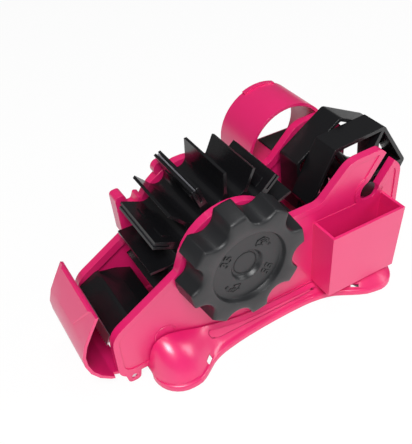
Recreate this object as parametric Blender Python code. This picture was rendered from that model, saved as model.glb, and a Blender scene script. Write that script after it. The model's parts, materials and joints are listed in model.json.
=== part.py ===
"""Semi-automatic tape dispenser for a shop counter.

World frame: metres, +Z up, +X to the rear, the knob on the -Y side, ground at Z = 0.
The assembly empty stands on the feed drum's axis, so most positions are read from there.
Run with: blender --background --python part.py
"""
import math

import bmesh
import bpy
from mathutils import Matrix, Vector

MM = 0.001

# Working sizes of the modelling itself; creases are in degrees.
WELD_DIST = 0.01 * MM
CORE_R = 0.05 * MM
MIN_ARC = 0.6 * MM
CREASE = 32
KNOB_CREASE = 40
BAND_CREASE = 25

# Driving sizes.
# Feed lengths that the machine is made for; two and three fins of the drum carry them.
FEED_SHORT = 35 * MM
FEED_LONG = 55 * MM
SHORT_FINS = 2
LONG_FINS = 3
FIN_COUNT = 16
BLADE_FINS = (1, 4, 6, 9, 12, 14)
FIN_PITCH = (FEED_SHORT + FEED_LONG) / (SHORT_FINS + LONG_FINS)
TIP_R = FIN_COUNT * FIN_PITCH / (2 * math.pi)
FIRST_FIN = math.radians(21)

# Reach of the walls, feet and hoop from the drum axis.
REACH_REAR = 119 * MM
REACH_NEAR = 50 * MM
REACH_FAR = 60 * MM

# Tape spool's place and reach across corners.
SPOOL_X = 95.5 * MM
SPOOL_Z = -0.8 * MM
SPOOL_R = 36.8 * MM

# The walls' foot clears the drum and the spool, and stands above the ground.
DRUM_FLOOR_GAP = 11.86 * MM
SPOOL_FLOOR_GAP = 20.1 * MM
FLOOR_RISE = 7.3 * MM
WALL_FOOT = -max(TIP_R + DRUM_FLOOR_GAP, SPOOL_R - SPOOL_Z + SPOOL_FLOOR_GAP)
AXIS_HEIGHT = FLOOR_RISE - WALL_FOOT

# Clearances.
SEAT_GAP = 0.3 * MM
RUN_GAP = 0.1 * MM

# Side walls.
WALL_OUT = 27.5 * MM
WALL_T = 5.0 * MM
RIM_W = 5.0 * MM
PANEL_IN = 2.0 * MM
PANEL_OUT = 0.6 * MM
WALL_IN = WALL_OUT - WALL_T

# Axis of the guard, in the lugs below the wall's foot.
HINGE_DROP = 2.6 * MM
HINGE_X = -67 * MM
HINGE_Z = WALL_FOOT - HINGE_DROP

# Corners of the walls' outline, as x, z and corner radius, front bottom first.
LUG_DROP = 6.5 * MM
LUG_CORNERS = (
    (-62.4 * MM, WALL_FOOT, 0), (-63.4 * MM, WALL_FOOT - LUG_DROP, 3.0 * MM),
    (-70.4 * MM, WALL_FOOT - LUG_DROP, 3.0 * MM), (-71.6 * MM, WALL_FOOT, 1.2 * MM),
    (-75.2 * MM, WALL_FOOT + HINGE_DROP, 8 * MM),
)
PLAIN_CORNERS = ((-75 * MM, WALL_FOOT, 9 * MM),)
FRONT_CORNERS = ((-75.5 * MM, -25 * MM, 13 * MM), (-34 * MM, 0.5 * MM, 3 * MM))
REAR_CORNERS = (
    (36 * MM, 4.6 * MM, 9 * MM), (58.5 * MM, 4.6 * MM, 8 * MM), (79 * MM, 25.5 * MM, 14 * MM),
    (101 * MM, 26.0 * MM, 6 * MM), (118.5 * MM, 8 * MM, 10 * MM), (REACH_REAR, -22 * MM, 0),
    (115 * MM, WALL_FOOT, 4 * MM),
)
HUB_ARC_R = 31.5 * MM
HUB_ARC_X = -1 * MM
HUB_ARC_START = math.radians(158)
HUB_ARC_END = math.radians(34)
KEEP_W = 4 * MM

# Lug and nub on the far wall.
FAR_LUG_CORNERS = (
    (-42.5 * MM, -4 * MM, 0), (-30 * MM, -4 * MM, 0), (-27 * MM, 16 * MM, 0),
    (-29.5 * MM, 17 * MM, 1 * MM), (-31.5 * MM, 11.5 * MM, 2 * MM), (-35.5 * MM, 13 * MM, 2.4 * MM),
    (-37.5 * MM, 22 * MM, 2.2 * MM), (-43.5 * MM, 21.5 * MM, 2.4 * MM),
)
FAR_LUG_RISE = 4 * MM
NUB_R = 4.2 * MM
NUB_X = -14.5 * MM
NUB_Z = 30.5 * MM

# Feed drum.
DRUM_HALF = 20.4 * MM
ROOT_R = 29.5 * MM
FIN_T = 1.7 * MM
BLADE_FIN_T = 4.4 * MM
SHELL_T = 2.6 * MM
WEB_T = 3.0 * MM
HUB_R = 10 * MM
AXLE_R = 6 * MM
AXLE_END = 4 * MM
BUSH_R = 8.5 * MM
BUSH_FLANGE_W = 2 * MM
BUSH_FLANGE_T = 1.2 * MM
END_CAP_W = 3 * MM
END_CAP_T = 2 * MM
END_CAP_EDGE = 1 * MM
TROUGH_STEPS = 7

# Blades: six in the drum, one at the front.
BLADE_T = 0.7 * MM
BLADE_DEPTH = 9.0 * MM
BLADE_PROUD = 0.1 * MM
BLADE_END = 0.5 * MM
TOOTH_PITCH = 1.9 * MM
TOOTH_H = 1.1 * MM

# Knob.
KNOB_R = 36.5 * MM
KNOB_LOBES = 8
KNOB_PHASE = math.radians(12)
SCALLOP_R = 8.5 * MM
SCALLOP_AT = 38.5 * MM
KNOB_BACK = 28.6 * MM
KNOB_FACE = 42.0 * MM
KNOB_EDGE = 1.6 * MM
KNOB_SKIN = 3.0 * MM
DISC_R = 23.0 * MM
DISC_RISE = 3.2 * MM
BOSS_R = 8.2 * MM
BOSS_RISE = 2.6 * MM
CAP_SINK = 1.6 * MM
STEP_EDGE = 0.7 * MM

# Tape spool: two hexagonal bands turned by half a corner.
SPOOL_HALF = 17.4 * MM
SPOOL_SKIN = 2.2 * MM
SPOKE_T = 2.0 * MM
SPOOL_HUB_R = 8.5 * MM
NEAR_TURN = math.radians(34)
SPOOL_AXLE_R = 5 * MM
SLOT_W = 11 * MM
SEAT_R = 7 * MM
SLOT_TILT = math.radians(55)
LIFT_RUN = 60 * MM
BAND_ARC = 2.4 * MM
BAND_INNER_ARC = 1.4 * MM
WEB_DEPTH = 5 * MM
SPOKE_ROOT = 1 * MM
FLANGE_GAP = 0.8 * MM
BAND_GAP = 0.6 * MM

# Front bridge and its blade: corners as x, z and corner radius; the fourth and fifth
# are the top and foot of its nose.
BRIDGE_GAP = 5.2 * MM
TAIL_Z = -29 * MM
TAIL_X = -math.sqrt((TIP_R + BRIDGE_GAP) ** 2 - TAIL_Z ** 2)
TAIL_SLANT = 1 * MM
BRIDGE_CORNERS = (
    (-61.2 * MM, -22.8 * MM, 0), (-61.2 * MM, -21.8 * MM, 0), (-63.2 * MM, -21.8 * MM, 0.8 * MM),
    (-73.8 * MM, -27.6 * MM, 0.8 * MM), (-75.2 * MM, -31.5 * MM, 0), (-72.6 * MM, -32.4 * MM, 0),
    (-71.4 * MM, -29.6 * MM, 0.6 * MM), (-63.0 * MM, -25.0 * MM, 2 * MM), (-52 * MM, -27.6 * MM, 3 * MM),
    (TAIL_X - TAIL_SLANT, -31.5 * MM, 0), (TAIL_X, TAIL_Z, 0), (-51 * MM, -24.9 * MM, 3 * MM),
)
EDGE_BACK = 2.4 * MM
EDGE_REACH = 3.6 * MM

# Front guard.
GUARD_T = 1.8 * MM
GUARD_HALF = 25 * MM
PIN_R = 1.5 * MM
KNUCKLE_R = 3.4 * MM
GUARD_SHOULDER = 10.2 * MM

# Centre line of the guard's sheet from its hinge to the thumb edge, as x and z from the hinge.
GUARD_KNOTS = (
    (-1.4 * MM, 1.2 * MM), (-6 * MM, 1.7 * MM), (-12 * MM, 4.3 * MM), (-17.5 * MM, 9 * MM),
    (-21.6 * MM, 15.3 * MM), (-23.6 * MM, 22.3 * MM), (-23.8 * MM, 28.8 * MM), (-21.6 * MM, 36.3 * MM),
    (-17.2 * MM, 44.5 * MM), (-12.4 * MM, 52.9 * MM),
)
PAD_RAISE = 1.5 * MM
PAD_TOP_NEAR = 20 * MM
PAD_TOP_FAR = 22 * MM
PAD_LOW_NEAR = 9 * MM
PAD_LOW_FAR = 10 * MM
PAD_MARGIN = 2 * MM
SPRING_HALF = 5 * MM
WIRE_R = 0.35 * MM
COIL_GAP = 0.35 * MM
SPRING_TAIL = 4 * MM
PIN_END = 0.5 * MM

# Base skirt.
FOOT_R = 16 * MM
FOOT_Y = REACH_NEAR - FOOT_R
FRONT_FOOT_X = -42 * MM
REAR_FOOT_X = 94 * MM
WAIST = 34.5 * MM
SKIN = 2.2 * MM
RIM_H = 3.6 * MM
RIM_LIFT = 1.0 * MM
CUP_R = 12 * MM
CUP_H = 4.3 * MM
CUP_LIP = 3 * MM
CUP_SKIN = 1.6 * MM
CUP_POST_R = 4 * MM

# Small slots through the skirt beside the feet: x, y and turn.
TAB_SLOTS = (
    (-26.5 * MM, 41.2 * MM, math.radians(40)),
    (79 * MM, 41.5 * MM, math.radians(-32)),
)
TAB_L = 5 * MM
TAB_W = 1.8 * MM
TAB_H = 9 * MM

# The skirt's plan between the feet: share of the run, and share of the foot's extra width.
PLAN_SHARES = (
    (0, 1), (0.044, 0.97), (0.088, 0.77), (0.132, 0.5), (0.176, 0.33), (0.228, 0.22), (0.338, 0.09),
    (0.49, 0.01), (0.64, 0), (0.728, 0.08), (0.794, 0.25), (0.86, 0.58), (0.926, 0.88), (1, 1),
)

# Where the skirt meets the wall, as x and the height above the wall's foot.
CREST_PLACES = (
    (-58 * MM, -0.3 * MM), (-56.5 * MM, 7.7 * MM), (-53.5 * MM, 14.7 * MM), (-48 * MM, 18.2 * MM),
    (-40 * MM, 17.2 * MM), (-24 * MM, 11.2 * MM), (2 * MM, 4.2 * MM), (30 * MM, 2.7 * MM),
    (66 * MM, 2.7 * MM), (84 * MM, 3.8 * MM), (97 * MM, 4.0 * MM), (106 * MM, 2.7 * MM),
    (110 * MM, -0.3 * MM),
)

# The skirt's section from the wall outward: share of the width, and share of the fall
# on a plain slope and over a foot.
SKIRT_SHARES = ((0, 0, 0), (0.2, 0.24, 0.05), (0.5, 0.64, 0.22), (0.8, 0.9, 0.55), (1, 1, 1))

# Storage box on the near side.
BOX_X0 = 54.5 * MM
BOX_X1 = 107.5 * MM
BOX_TOP = -7.0 * MM
BOX_RISE = 4.7 * MM
BOX_FOOT = WALL_FOOT + BOX_RISE
BOX_REACH = 45.4 * MM
BOX_SKIN = 1.8 * MM
BOX_DRAFT = 1.2 * MM

# Hoop on the far side.
HOOP_X = 75.5 * MM
HOOP_Z = 9.0 * MM
HOOP_R = 29 * MM
HOOP_T = 2.0 * MM
HOOP_FLOOR_Z = -2.5 * MM
HOOP_LIP = 1.2 * MM
HOOP_LIP_W = 3 * MM
PAD_X0 = 74.5 * MM
PAD_X1 = 97 * MM
PAD_T = 1.6 * MM

# Cross posts and their screws.
POST_R = 4.5 * MM
SCREW_R = 1.5 * MM
HEAD_R = 3.2 * MM
HEAD_H = 1.8 * MM
SCREW_BORE = 14 * MM
SCREW_TIP_GAP = 1 * MM
POST_DRUM_GAP = 2 * MM
POST_SPOOL_GAP = 4.4 * MM
FRONT_POST_RISE = 14.7 * MM
LOW_POST_AT = math.radians(-65.15)
FRONT_POST_Z = WALL_FOOT + FRONT_POST_RISE
LOW_POST_REACH = TIP_R + POST_R + POST_DRUM_GAP
REAR_POST_Z = SPOOL_Z - SPOOL_R - POST_R - POST_SPOOL_GAP
POST_PLACES = (
    (-61 * MM, FRONT_POST_Z),
    (LOW_POST_REACH * math.cos(LOW_POST_AT), LOW_POST_REACH * math.sin(LOW_POST_AT)),
    (50 * MM, -28 * MM),
    (103 * MM, REAR_POST_Z),
)

PINK = (0.83, 0.045, 0.22, 1)
BLACK = (0.012, 0.012, 0.014, 1)
RUBBER = (0.03, 0.03, 0.03, 1)
STEEL = (0.62, 0.62, 0.63, 1)
DARK_STEEL = (0.05, 0.05, 0.055, 1)
CLEAR_GREY = (0.30, 0.27, 0.28, 1)


# Scene helpers.
def clear_scene():
    for old in list(bpy.data.objects):
        bpy.data.objects.remove(old, do_unlink=True)


def make_collections():
    parts = bpy.data.collections.new("tape_dispenser")
    cutters = bpy.data.collections.new("cutters")
    for group in (parts, cutters):
        bpy.context.scene.collection.children.link(group)
    return parts, cutters


clear_scene()
PARTS, CUTTERS = make_collections()
ASSEMBLY = bpy.data.objects.new("assembly", None)
PARTS.objects.link(ASSEMBLY)


def finish(obj, colour, roughness, metallic=0):
    """Give a part its own material and hang it on the assembly empty."""
    mat = bpy.data.materials.new(obj.name)
    mat.use_nodes = True
    shader = mat.node_tree.nodes["Principled BSDF"]
    shader.inputs["Base Color"].default_value = colour
    shader.inputs["Roughness"].default_value = roughness
    shader.inputs["Metallic"].default_value = metallic
    mat.diffuse_color = colour
    obj.data.materials.clear()
    obj.data.materials.append(mat)
    obj.parent = ASSEMBLY
    return obj


def new_object(name, bm, place=(0, 0, 0)):
    """Make an object from a bmesh; its origin sits at place, in the assembly's axes."""
    bmesh.ops.remove_doubles(bm, verts=bm.verts, dist=WELD_DIST)
    bmesh.ops.recalc_face_normals(bm, faces=bm.faces)
    mesh = bpy.data.meshes.new(name)
    bm.to_mesh(mesh)
    bm.free()
    obj = bpy.data.objects.new(name, mesh)
    obj.location = place
    PARTS.objects.link(obj)
    return obj


def smooth(obj, limit=CREASE):
    mesh = obj.data
    mesh.polygons.foreach_set("use_smooth", [True] * len(mesh.polygons))
    mesh.set_sharp_from_angle(angle=math.radians(limit))
    return obj


def cut_or_join(target, tool, operation):
    """Apply one exact Boolean; the tool stays in the cutters collection, hidden."""
    bpy.context.view_layer.update()
    step = target.modifiers.new(tool.name, "BOOLEAN")
    step.operation = operation
    step.solver = "EXACT"
    step.object = tool
    graph = bpy.context.evaluated_depsgraph_get()
    result = bpy.data.meshes.new_from_object(target.evaluated_get(graph))
    target.modifiers.remove(step)
    target.data = result
    bm = bmesh.new()
    bm.from_mesh(result)
    bmesh.ops.remove_doubles(bm, verts=bm.verts, dist=WELD_DIST / 2)
    bm.to_mesh(result)
    bm.free()
    hide_cutter(tool)
    return target


def hide_cutter(tool):
    if tool.name in PARTS.objects:
        PARTS.objects.unlink(tool)
        CUTTERS.objects.link(tool)
    tool.parent = None
    tool.hide_render = True
    tool.hide_viewport = True
    tool.display_type = "WIRE"


def cut(target, tool):
    return cut_or_join(target, tool, "DIFFERENCE")


def join(target, tool):
    return cut_or_join(target, tool, "UNION")


# Shape helpers.
def rounded(corners, steps=5):
    """Turn (x, z, radius) corners into an outline whose corners are arcs."""
    points = []
    count = len(corners)
    for i, (x, z, radius) in enumerate(corners):
        here = Vector((x, z))
        if radius == 0:
            points.append(here)
            continue
        back = (Vector(corners[i - 1][:2]) - here).normalized()
        ahead = (Vector(corners[(i + 1) % count][:2]) - here).normalized()
        half = back.angle(ahead) / 2
        reach = radius / math.tan(half)
        centre = here + (back + ahead).normalized() * (radius / math.sin(half))
        start = here + back * reach - centre
        sweep = start.angle_signed(here + ahead * reach - centre)
        for k in range(steps + 1):
            turn = Matrix.Rotation(-sweep * k / steps, 2)
            points.append(centre + turn @ start)
    return points


def arc(cx, cz, radius, start, end, steps):
    """Points on an arc in the XZ plane, angles from +X toward +Z."""
    return [
        Vector((
            cx + radius * math.cos(start + (end - start) * k / steps),
            cz + radius * math.sin(start + (end - start) * k / steps),
        ))
        for k in range(steps + 1)
    ]


def circle(cx, cz, radius, steps=32):
    return arc(cx, cz, radius, 0, 2 * math.pi * (steps - 1) / steps, steps - 1)


def plate(name, loops, y0, y1, place=(0, 0, 0)):
    """Fill flat loops in the XZ plane, holes included, and give them depth along Y."""
    curve = bpy.data.curves.new(name, "CURVE")
    curve.dimensions = "2D"
    curve.fill_mode = "BOTH"
    curve.extrude = abs(y1 - y0) / 2
    for loop in loops:
        spline = curve.splines.new("POLY")
        spline.points.add(len(loop) - 1)
        spline.use_cyclic_u = True
        for point, (x, z) in zip(spline.points, loop):
            point.co = (x, z, 0, 1)
    flat = bpy.data.objects.new(name, curve)
    CUTTERS.objects.link(flat)
    bpy.context.view_layer.update()
    graph = bpy.context.evaluated_depsgraph_get()
    mesh = bpy.data.meshes.new_from_object(flat.evaluated_get(graph))
    bpy.data.objects.remove(flat, do_unlink=True)
    bpy.data.curves.remove(curve)
    bm = bmesh.new()
    bm.from_mesh(mesh)
    bpy.data.meshes.remove(mesh)
    stand_up = Matrix.Rotation(math.radians(90), 4, "X")
    bmesh.ops.transform(bm, matrix=stand_up, verts=bm.verts)
    bmesh.ops.translate(bm, vec=(0, (y0 + y1) / 2, 0), verts=bm.verts)
    return new_object(name, bm, place)


def prism(name, outline, y0, y1, place=(0, 0, 0)):
    """A solid with one plain outline, its two ends single faces."""
    bm = bmesh.new()
    ring = [bm.verts.new((x, y0, z)) for x, z in outline]
    end = bm.faces.new(ring)
    grown = bmesh.ops.extrude_face_region(bm, geom=[end])
    moved = [v for v in grown["geom"] if isinstance(v, bmesh.types.BMVert)]
    bmesh.ops.translate(bm, vec=(0, y1 - y0, 0), verts=moved)
    if len(bm.faces) == len(outline) + 1:
        bm.faces.new(ring)
    return new_object(name, bm, place)


def rings_solid(name, rings, closed, place=(0, 0, 0)):
    """Skin rings of equal count; closed joins last to first, else the ends are capped."""
    bm = bmesh.new()
    rows = [[bm.verts.new(point) for point in ring] for ring in rings]
    count = len(rows[0])
    spans = len(rows) if closed else len(rows) - 1
    for i in range(spans):
        one = rows[i]
        two = rows[(i + 1) % len(rows)]
        for j in range(count):
            k = (j + 1) % count
            bm.faces.new((one[j], one[k], two[k], two[j]))
    if not closed:
        bm.faces.new(rows[0])
        bm.faces.new(rows[-1])
    return new_object(name, bm, place)


def turned(name, profile, steps=32, place=(0, 0, 0)):
    """Revolve a (radius, y) profile about the Y axis; one that starts at the core is solid."""
    rings = []
    for radius, y in profile:
        ring = [(p[0], y, p[1]) for p in circle(0, 0, radius, steps)]
        rings.append(ring)
    return rings_solid(name, rings, profile[0][0] > CORE_R, place)


def rod(name, radius, y0, y1, place=(0, 0, 0), steps=32):
    return prism(name, circle(0, 0, radius, steps), y0, y1, place)


def block(name, low, high, place=(0, 0, 0)):
    outline = [(low[0], low[2]), (high[0], low[2]), (high[0], high[2]), (low[0], high[2])]
    return prism(name, outline, low[1], high[1], place)


def shrunk(corners, margin):
    """Move an outline's corners inward by a margin, and adapt their arcs."""
    count = len(corners)
    result = []
    for i, (x, z, radius) in enumerate(corners):
        here = Vector((x, z))
        run_in = (here - Vector(corners[i - 1][:2])).normalized()
        run_out = (Vector(corners[(i + 1) % count][:2]) - here).normalized()
        inward = Vector((run_in.y, -run_in.x)) + Vector((run_out.y, -run_out.x))
        inward *= margin * 2 / inward.length_squared
        turn = run_in.x * run_out.y - run_in.y * run_out.x
        if radius > 0:
            radius = max(radius - margin, MIN_ARC) if turn < 0 else radius + margin
        result.append((x + inward.x, z + inward.y, radius))
    return result


# Side walls.
def wall_corners(with_lug):
    """The body's side outline, front bottom first, then over the top to the rear."""
    hub_arc = arc(HUB_ARC_X, 0, HUB_ARC_R, HUB_ARC_START, HUB_ARC_END, 14)
    hub = [(p.x, p.y, 0) for p in hub_arc]
    start = LUG_CORNERS if with_lug else PLAIN_CORNERS
    return list(start + FRONT_CORNERS) + hub + list(REAR_CORNERS)


def slot_cutter(name, width, end_r, half_depth):
    """Keyhole slot, open at the rear top, for the spool's axle."""
    along = Vector((math.cos(SLOT_TILT), math.sin(SLOT_TILT)))
    side = Vector((-along.y, along.x)) * width / 2
    neck = math.asin(width / 2 / end_r)
    seat = Vector((SPOOL_X, SPOOL_Z))
    top = seat + along * LIFT_RUN
    bow = arc(SPOOL_X, SPOOL_Z, end_r, SLOT_TILT + neck, SLOT_TILT + 2 * math.pi - neck, 20)
    outline = bow + [top - side, top + side]
    return prism(name, outline, -half_depth, half_depth)


def panel_cutter(side, face, margin, depth):
    """The recess in a wall's face: the outline shrunk, less the thick places round the bearings."""
    over = WALL_T
    floor = face - math.copysign(depth, face - side * (WALL_OUT - WALL_T / 2))
    top = face + math.copysign(over, face - side * (WALL_OUT - WALL_T / 2))
    obj = prism("panel_cut", rounded(shrunk(wall_corners(False), margin)), floor, top)
    keep = 2 * WALL_OUT
    cut(obj, rod("keep_boss", BUSH_R + KEEP_W, -keep, keep, (0, 0, 0), 36))
    cut(obj, rod("keep_collar", SEAT_R + KEEP_W, -keep, keep, (SPOOL_X, 0, SPOOL_Z), 36))
    cut(obj, slot_cutter("keep_neck", SLOT_W + 2 * KEEP_W, SEAT_R + KEEP_W - SEAT_GAP, keep))
    return obj


def wall(name, side):
    """One side wall, with recessed panels inside and out, and its openings."""
    inner = side * WALL_IN
    outer = side * WALL_OUT
    obj = prism(name, rounded(wall_corners(True)), inner, outer)
    cut(obj, panel_cutter(side, inner, RIM_W, PANEL_IN))
    cut(obj, panel_cutter(side, outer, RIM_W * 0.7, PANEL_OUT))
    cut(obj, slot_cutter("slot_cut", SLOT_W, SEAT_R, 2 * WALL_OUT))
    cut(obj, rod("bush_hole", BUSH_R + SEAT_GAP, -WALL_OUT * 2, WALL_OUT * 2))
    cut(obj, rod("pin_hole", PIN_R + RUN_GAP, -WALL_OUT * 2, WALL_OUT * 2, (HINGE_X, 0, HINGE_Z), 16))
    return obj


def storage_box():
    """Open box moulded on the near wall, its sides drafted toward the bottom."""
    wall_y = -(WALL_OUT - WALL_T / 2)
    front = -BOX_REACH
    rings = []
    for inset, z in ((0, BOX_TOP), (BOX_DRAFT, BOX_FOOT)):
        rings.append([
            (BOX_X0 + inset, wall_y, z), (BOX_X1 - inset, wall_y, z),
            (BOX_X1 - inset, front + inset, z), (BOX_X0 + inset, front + inset, z),
        ])
    box = rings_solid("box_body", rings, False)
    hollow = []
    over = (BOX_TOP - BOX_FOOT) * 0.1
    floor = BOX_FOOT + BOX_SKIN
    for inset, z in ((-BOX_DRAFT * 0.1, BOX_TOP + over), (BOX_DRAFT, floor)):
        keep = inset + BOX_SKIN
        hollow.append([
            (BOX_X0 + keep, -WALL_OUT + PANEL_OUT / 2, z), (BOX_X1 - keep, -WALL_OUT + PANEL_OUT / 2, z),
            (BOX_X1 - keep, front + keep, z), (BOX_X0 + keep, front + keep, z),
        ])
    return box, rings_solid("box_hollow", hollow, False)


def near_frame():
    obj = wall("near_frame", -1)
    box, hollow = storage_box()
    join(obj, box)
    cut(obj, hollow)
    return smooth(finish(obj, PINK, 0.32))


def hoop():
    """Ring on the far wall with a raised lip on its outer rim and a flat floor inside."""
    start = WALL_OUT - PANEL_OUT - SEAT_GAP
    loops = [circle(HOOP_X, HOOP_Z, HOOP_R, 48), circle(HOOP_X, HOOP_Z, HOOP_R - HOOP_T, 48)]
    ring = plate("hoop_ring", loops, start, REACH_FAR)
    lip_outline = (
        arc(HOOP_X, HOOP_Z, HOOP_R + HOOP_LIP, math.radians(70), math.radians(114), 8)
        + arc(HOOP_X, HOOP_Z, HOOP_R - HOOP_T / 2, math.radians(114), math.radians(70), 8)
    )
    lip_end = REACH_FAR - SEAT_GAP
    join(ring, prism("hoop_lip", lip_outline, lip_end - HOOP_LIP_W, lip_end))
    drop = HOOP_Z - HOOP_FLOOR_Z
    middle = HOOP_R - HOOP_T / 2
    span = math.sqrt(middle ** 2 - drop ** 2)
    floor = block(
        "hoop_floor",
        (HOOP_X - span, start, HOOP_FLOOR_Z - HOOP_T),
        (HOOP_X + span, REACH_FAR - SEAT_GAP, HOOP_FLOOR_Z),
    )
    join(ring, floor)
    cut(ring, block(
        "pad_seat",
        (PAD_X0 - SEAT_GAP, WALL_OUT + HOOP_T, HOOP_FLOOR_Z - PAD_T / 2),
        (PAD_X1 + SEAT_GAP, REACH_FAR - HOOP_T, HOOP_FLOOR_Z + HOOP_T),
    ))
    return ring


def far_lug():
    """Rounded lug beside the drum, with the U notch between it and the wall's hub arc."""
    return prism("far_lug", rounded(FAR_LUG_CORNERS), WALL_IN + SEAT_GAP, WALL_OUT + FAR_LUG_RISE)


def far_frame():
    obj = wall("far_frame", 1)
    join(obj, hoop())
    join(obj, far_lug())
    join(obj, rod("far_nub", NUB_R, WALL_IN + SEAT_GAP, WALL_OUT - SEAT_GAP, (NUB_X, 0, NUB_Z), 20))
    for x, z in POST_PLACES:
        cut(obj, rod("screw_way", SCREW_R + SEAT_GAP, WALL_IN / 2, WALL_OUT * 2, (x, 0, z), 16))
    return smooth(finish(obj, PINK, 0.32))


def hoop_pad():
    low = (PAD_X0, WALL_OUT + HOOP_T + SEAT_GAP, HOOP_FLOOR_Z - PAD_T / 2 + SEAT_GAP)
    high = (PAD_X1, REACH_FAR - HOOP_T - SEAT_GAP, HOOP_FLOOR_Z + PAD_T / 2 + SEAT_GAP)
    return finish(block("hoop_pad", low, high), RUBBER, 0.8)


# Base.
def along_table(table, x):
    """Smooth curve through a table of (place, value) pairs, read at x."""
    last = len(table) - 1
    for i in range(last):
        x0, v0 = table[i]
        x1, v1 = table[i + 1]
        if x0 <= x <= x1:
            xa, va = table[max(i - 1, 0)]
            xb, vb = table[min(i + 2, last)]
            slope0 = (v1 - va) / (x1 - xa)
            slope1 = (vb - v0) / (xb - x0)
            t = (x - x0) / (x1 - x0)
            run = x1 - x0
            return (
                v0 * (2 * t ** 3 - 3 * t ** 2 + 1) + v1 * (3 * t ** 2 - 2 * t ** 3)
                + slope0 * run * (t ** 3 - 2 * t ** 2 + t) + slope1 * run * (t ** 3 - t ** 2)
            )
    return table[-1][1]


def skirt_half_width(x):
    """Plan half width of the base: a round foot at each end and a hollow waist between."""
    for centre, way in ((FRONT_FOOT_X, -1), (REAR_FOOT_X, 1)):
        past = (x - centre) * way
        if past >= 0:
            return FOOT_Y + math.sqrt(max(FOOT_R ** 2 - past ** 2, 0))
    share = (x - FRONT_FOOT_X) / (REAR_FOOT_X - FRONT_FOOT_X)
    return WAIST + (REACH_NEAR - WAIST) * along_table(PLAN_SHARES, share)


def skirt_crest(x):
    """Height of the skirt where it meets the wall: high over the front feet, then low."""
    return WALL_FOOT + along_table(CREST_PLACES, x)


def dome_share(x):
    """How far the skirt is domed here: wholly over a foot, not at all at the waist."""
    near = min(abs(x - FRONT_FOOT_X), abs(x - REAR_FOOT_X)) / (FOOT_R * 1.6)
    return max(1 - near ** 2, 0)


def skirt_height(x, y):
    """Height of the skirt's outer face over a foot, at a distance y from the middle plane."""
    reach = (y - WALL_OUT) / (skirt_half_width(x) - WALL_OUT)
    crest = skirt_crest(x)
    rim = RIM_LIFT + RIM_H - AXIS_HEIGHT
    for (share0, _, fall0), (share1, _, fall1) in zip(SKIRT_SHARES, SKIRT_SHARES[1:]):
        if share0 <= reach <= share1:
            fall = fall0 + (fall1 - fall0) * (reach - share0) / (share1 - share0)
            return crest + (rim - crest) * fall
    return rim


def base():
    """One moulding: floor between the walls, and a sloping skirt with feet on each side."""
    ground = -AXIS_HEIGHT
    floor_top = WALL_FOOT - SEAT_GAP
    stations = []
    turns = 8
    for k in range(turns):
        stations.append(FRONT_FOOT_X - FOOT_R * math.cos(math.pi / 2 * k / turns))
    run = REAR_FOOT_X - FRONT_FOOT_X
    for (share, _), (next_share, _) in zip(PLAN_SHARES, PLAN_SHARES[1:]):
        stations.append(FRONT_FOOT_X + run * share)
        stations.append(FRONT_FOOT_X + run * (share + next_share) / 2)
    for k in range(turns + 1):
        stations.append(REAR_FOOT_X + FOOT_R * math.sin(math.pi / 2 * k / turns))
    wall_y = WALL_OUT + SEAT_GAP
    sections = []
    for x in stations:
        width = max(skirt_half_width(x), wall_y + 3 * SKIN)
        crest = max(skirt_crest(x), floor_top + SKIN * 0.2)
        rim = ground + RIM_LIFT + RIM_H
        outer = []
        dome = dome_share(x)
        for share, slope, bulge in SKIRT_SHARES:
            y = wall_y + SKIN * 0.2 + (width - 2 * SKIN * 0.6 - wall_y) * share
            fall = slope + (bulge - slope) * dome
            outer.append((y, crest + (rim - crest) * fall))
        outer.append((width - SKIN * 0.4, rim))
        outer.append((width, rim - RIM_H * 0.3))
        outer.append((width, ground + RIM_LIFT))
        inner = [(width - SKIN, ground + RIM_LIFT), (width - SKIN, rim - SKIN * 0.45)]
        for share, slope, bulge in reversed(SKIRT_SHARES[:-1]):
            fall = slope + (bulge - slope) * dome
            y = wall_y + SKIN + (width - 2 * SKIN - wall_y) * share * 0.96
            inner.append((y, crest - SKIN + (rim + SKIN * 0.55 - crest) * fall))
        half = [(wall_y, floor_top), (wall_y, crest)] + outer[1:] + inner
        half += [(wall_y + SKIN, floor_top - SKIN)]
        near = [(x, -y, z) for y, z in half]
        far = [(x, y, z) for y, z in reversed(half)]
        sections.append(near + far)
    obj = rings_solid("base", sections, False)
    for foot_x in (FRONT_FOOT_X, REAR_FOOT_X):
        for side in (-1, 1):
            low = ground + CUP_H + SEAT_GAP
            high = skirt_height(foot_x, FOOT_Y + CUP_POST_R) - SKIN * 0.5
            post = upright("cup_post", CUP_POST_R, low, high, (foot_x, side * FOOT_Y, 0))
            join(obj, post)
    for k, (x, y, turn) in enumerate(TAB_SLOTS):
        for side in (-1, 1):
            tool = block("tab_slot", (-TAB_L / 2, -TAB_W / 2, ground - RIM_H), (TAB_L / 2, TAB_W / 2, ground + TAB_H))
            tool.location = (x, side * y, 0)
            tool.rotation_euler = (0, 0, -side * turn)
            cut(obj, tool)
    return smooth(finish(obj, PINK, 0.32))


def upright(name, radius, z0, z1, place):
    """A round post along Z."""
    bm = bmesh.new()
    bmesh.ops.create_cone(
        bm, cap_ends=True, segments=24, radius1=radius, radius2=radius, depth=abs(z1 - z0),
        matrix=Matrix.Translation((0, 0, (z0 + z1) / 2)),
    )
    return new_object(name, bm, place)


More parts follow.
